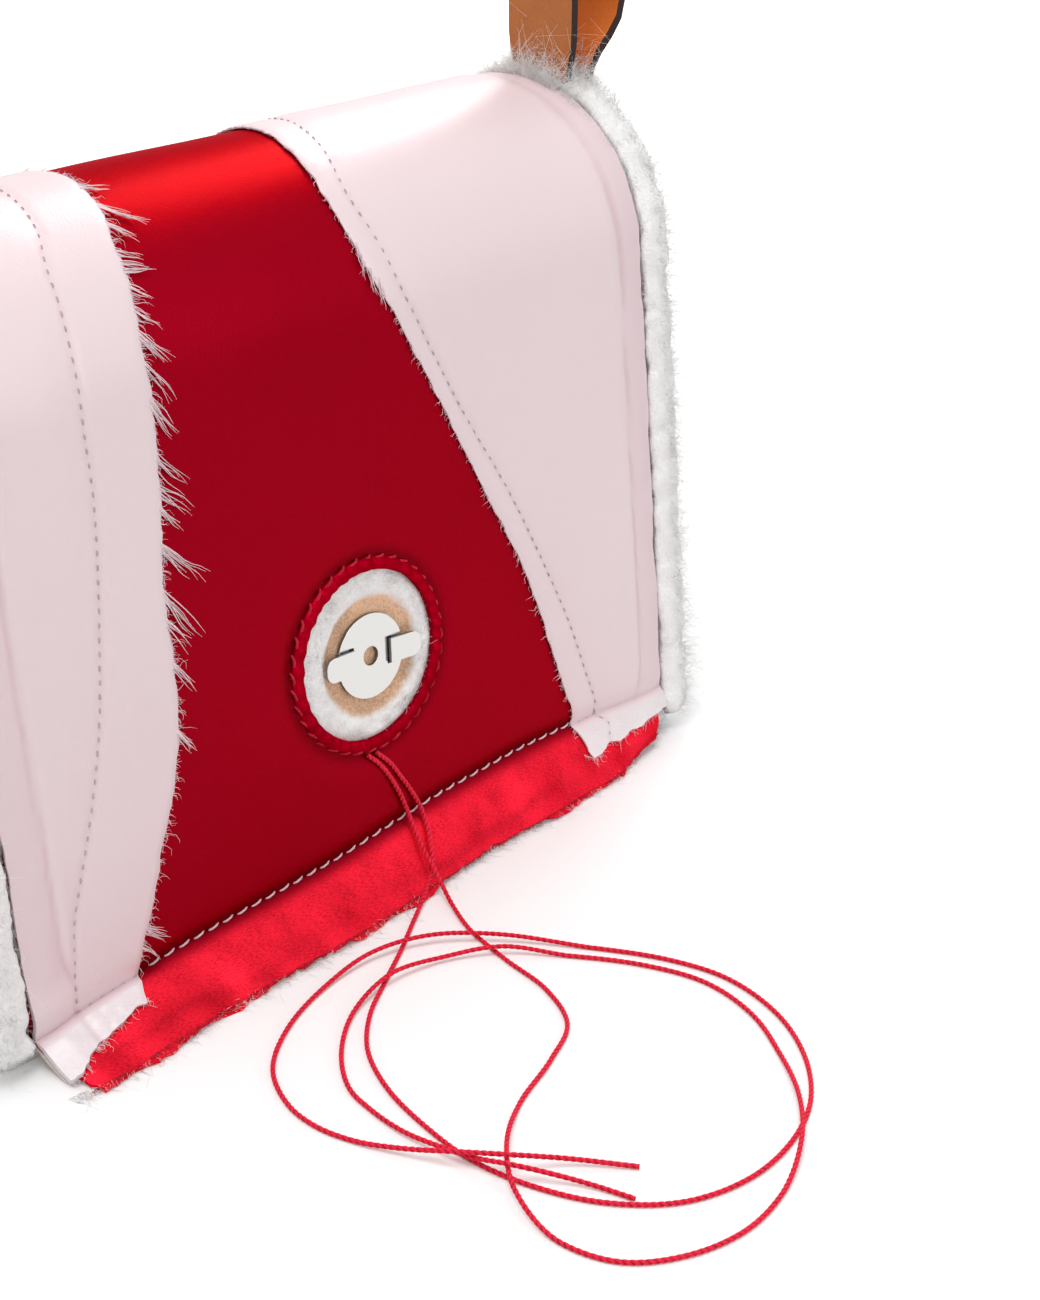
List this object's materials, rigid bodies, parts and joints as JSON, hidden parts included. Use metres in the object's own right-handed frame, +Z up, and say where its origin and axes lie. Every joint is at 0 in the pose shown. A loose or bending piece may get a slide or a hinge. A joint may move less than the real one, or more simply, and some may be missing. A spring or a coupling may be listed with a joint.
{
  "type": "shoulder bag",
  "caption": "Small shearling shoulder bag with a wrap-over satin-faced flap, a round snap window, loose threads and a leather strap.",
  "frame": {"origin": "centre of the base's underside, under the bag's middle", "axes": "+Z up, X across the bag, -Y towards the flap's front"},
  "size_m": [0.2186, 0.2148, 0.3932],
  "materials": {
    "shearling": "long white fleece",
    "red_satin": "glossy red satin",
    "pink_satin": "glossy pale pink satin",
    "suede": "napped tan suede",
    "leather": "smooth tan with dark painted edges",
    "nickel": "polished nickel",
    "magnet": "dull dark grey",
    "board": "matt stiffener board",
    "thread": "twisted red thread"
  },
  "bodies": {
    "bag": {"front_panel": "shearling", "back_panel": "shearling", "gusset_left": "shearling", "gusset_right": "shearling", "base_panel": "shearling", "base_board": "board", "pouch_lining": "suede", "snap_socket": "nickel", "snap_magnet": "magnet", "socket_washer": "nickel", "strap_rivet_left": "nickel", "strap_rivet_right": "nickel"},
    "flap": {"flap_shearling": "shearling", "red_satin_cover": "red_satin", "pink_panel_left": "pink_satin", "pink_panel_right": "pink_satin", "window_binding": "red_satin", "snap_plug": "nickel", "plug_washer": "nickel", "loose_thread_a": "thread", "loose_thread_b": "thread"},
    "strap": {"strap_outer_layer": "leather", "strap_inner_layer": "leather"}
  },
  "joints": [
    {"name": "flap_open", "type": "hinge", "parent": "bag", "child": "flap", "pos_m": [0, 0.03455, 0.11627], "axis": [-1, 0, 0], "range_deg": [0, 115]},
    {"name": "strap_swing", "type": "hinge", "parent": "bag", "child": "strap", "pos_m": [0, -0.003, 0.1395], "axis": [1, 0, 0], "range_deg": [-90, 90]}
  ]
}
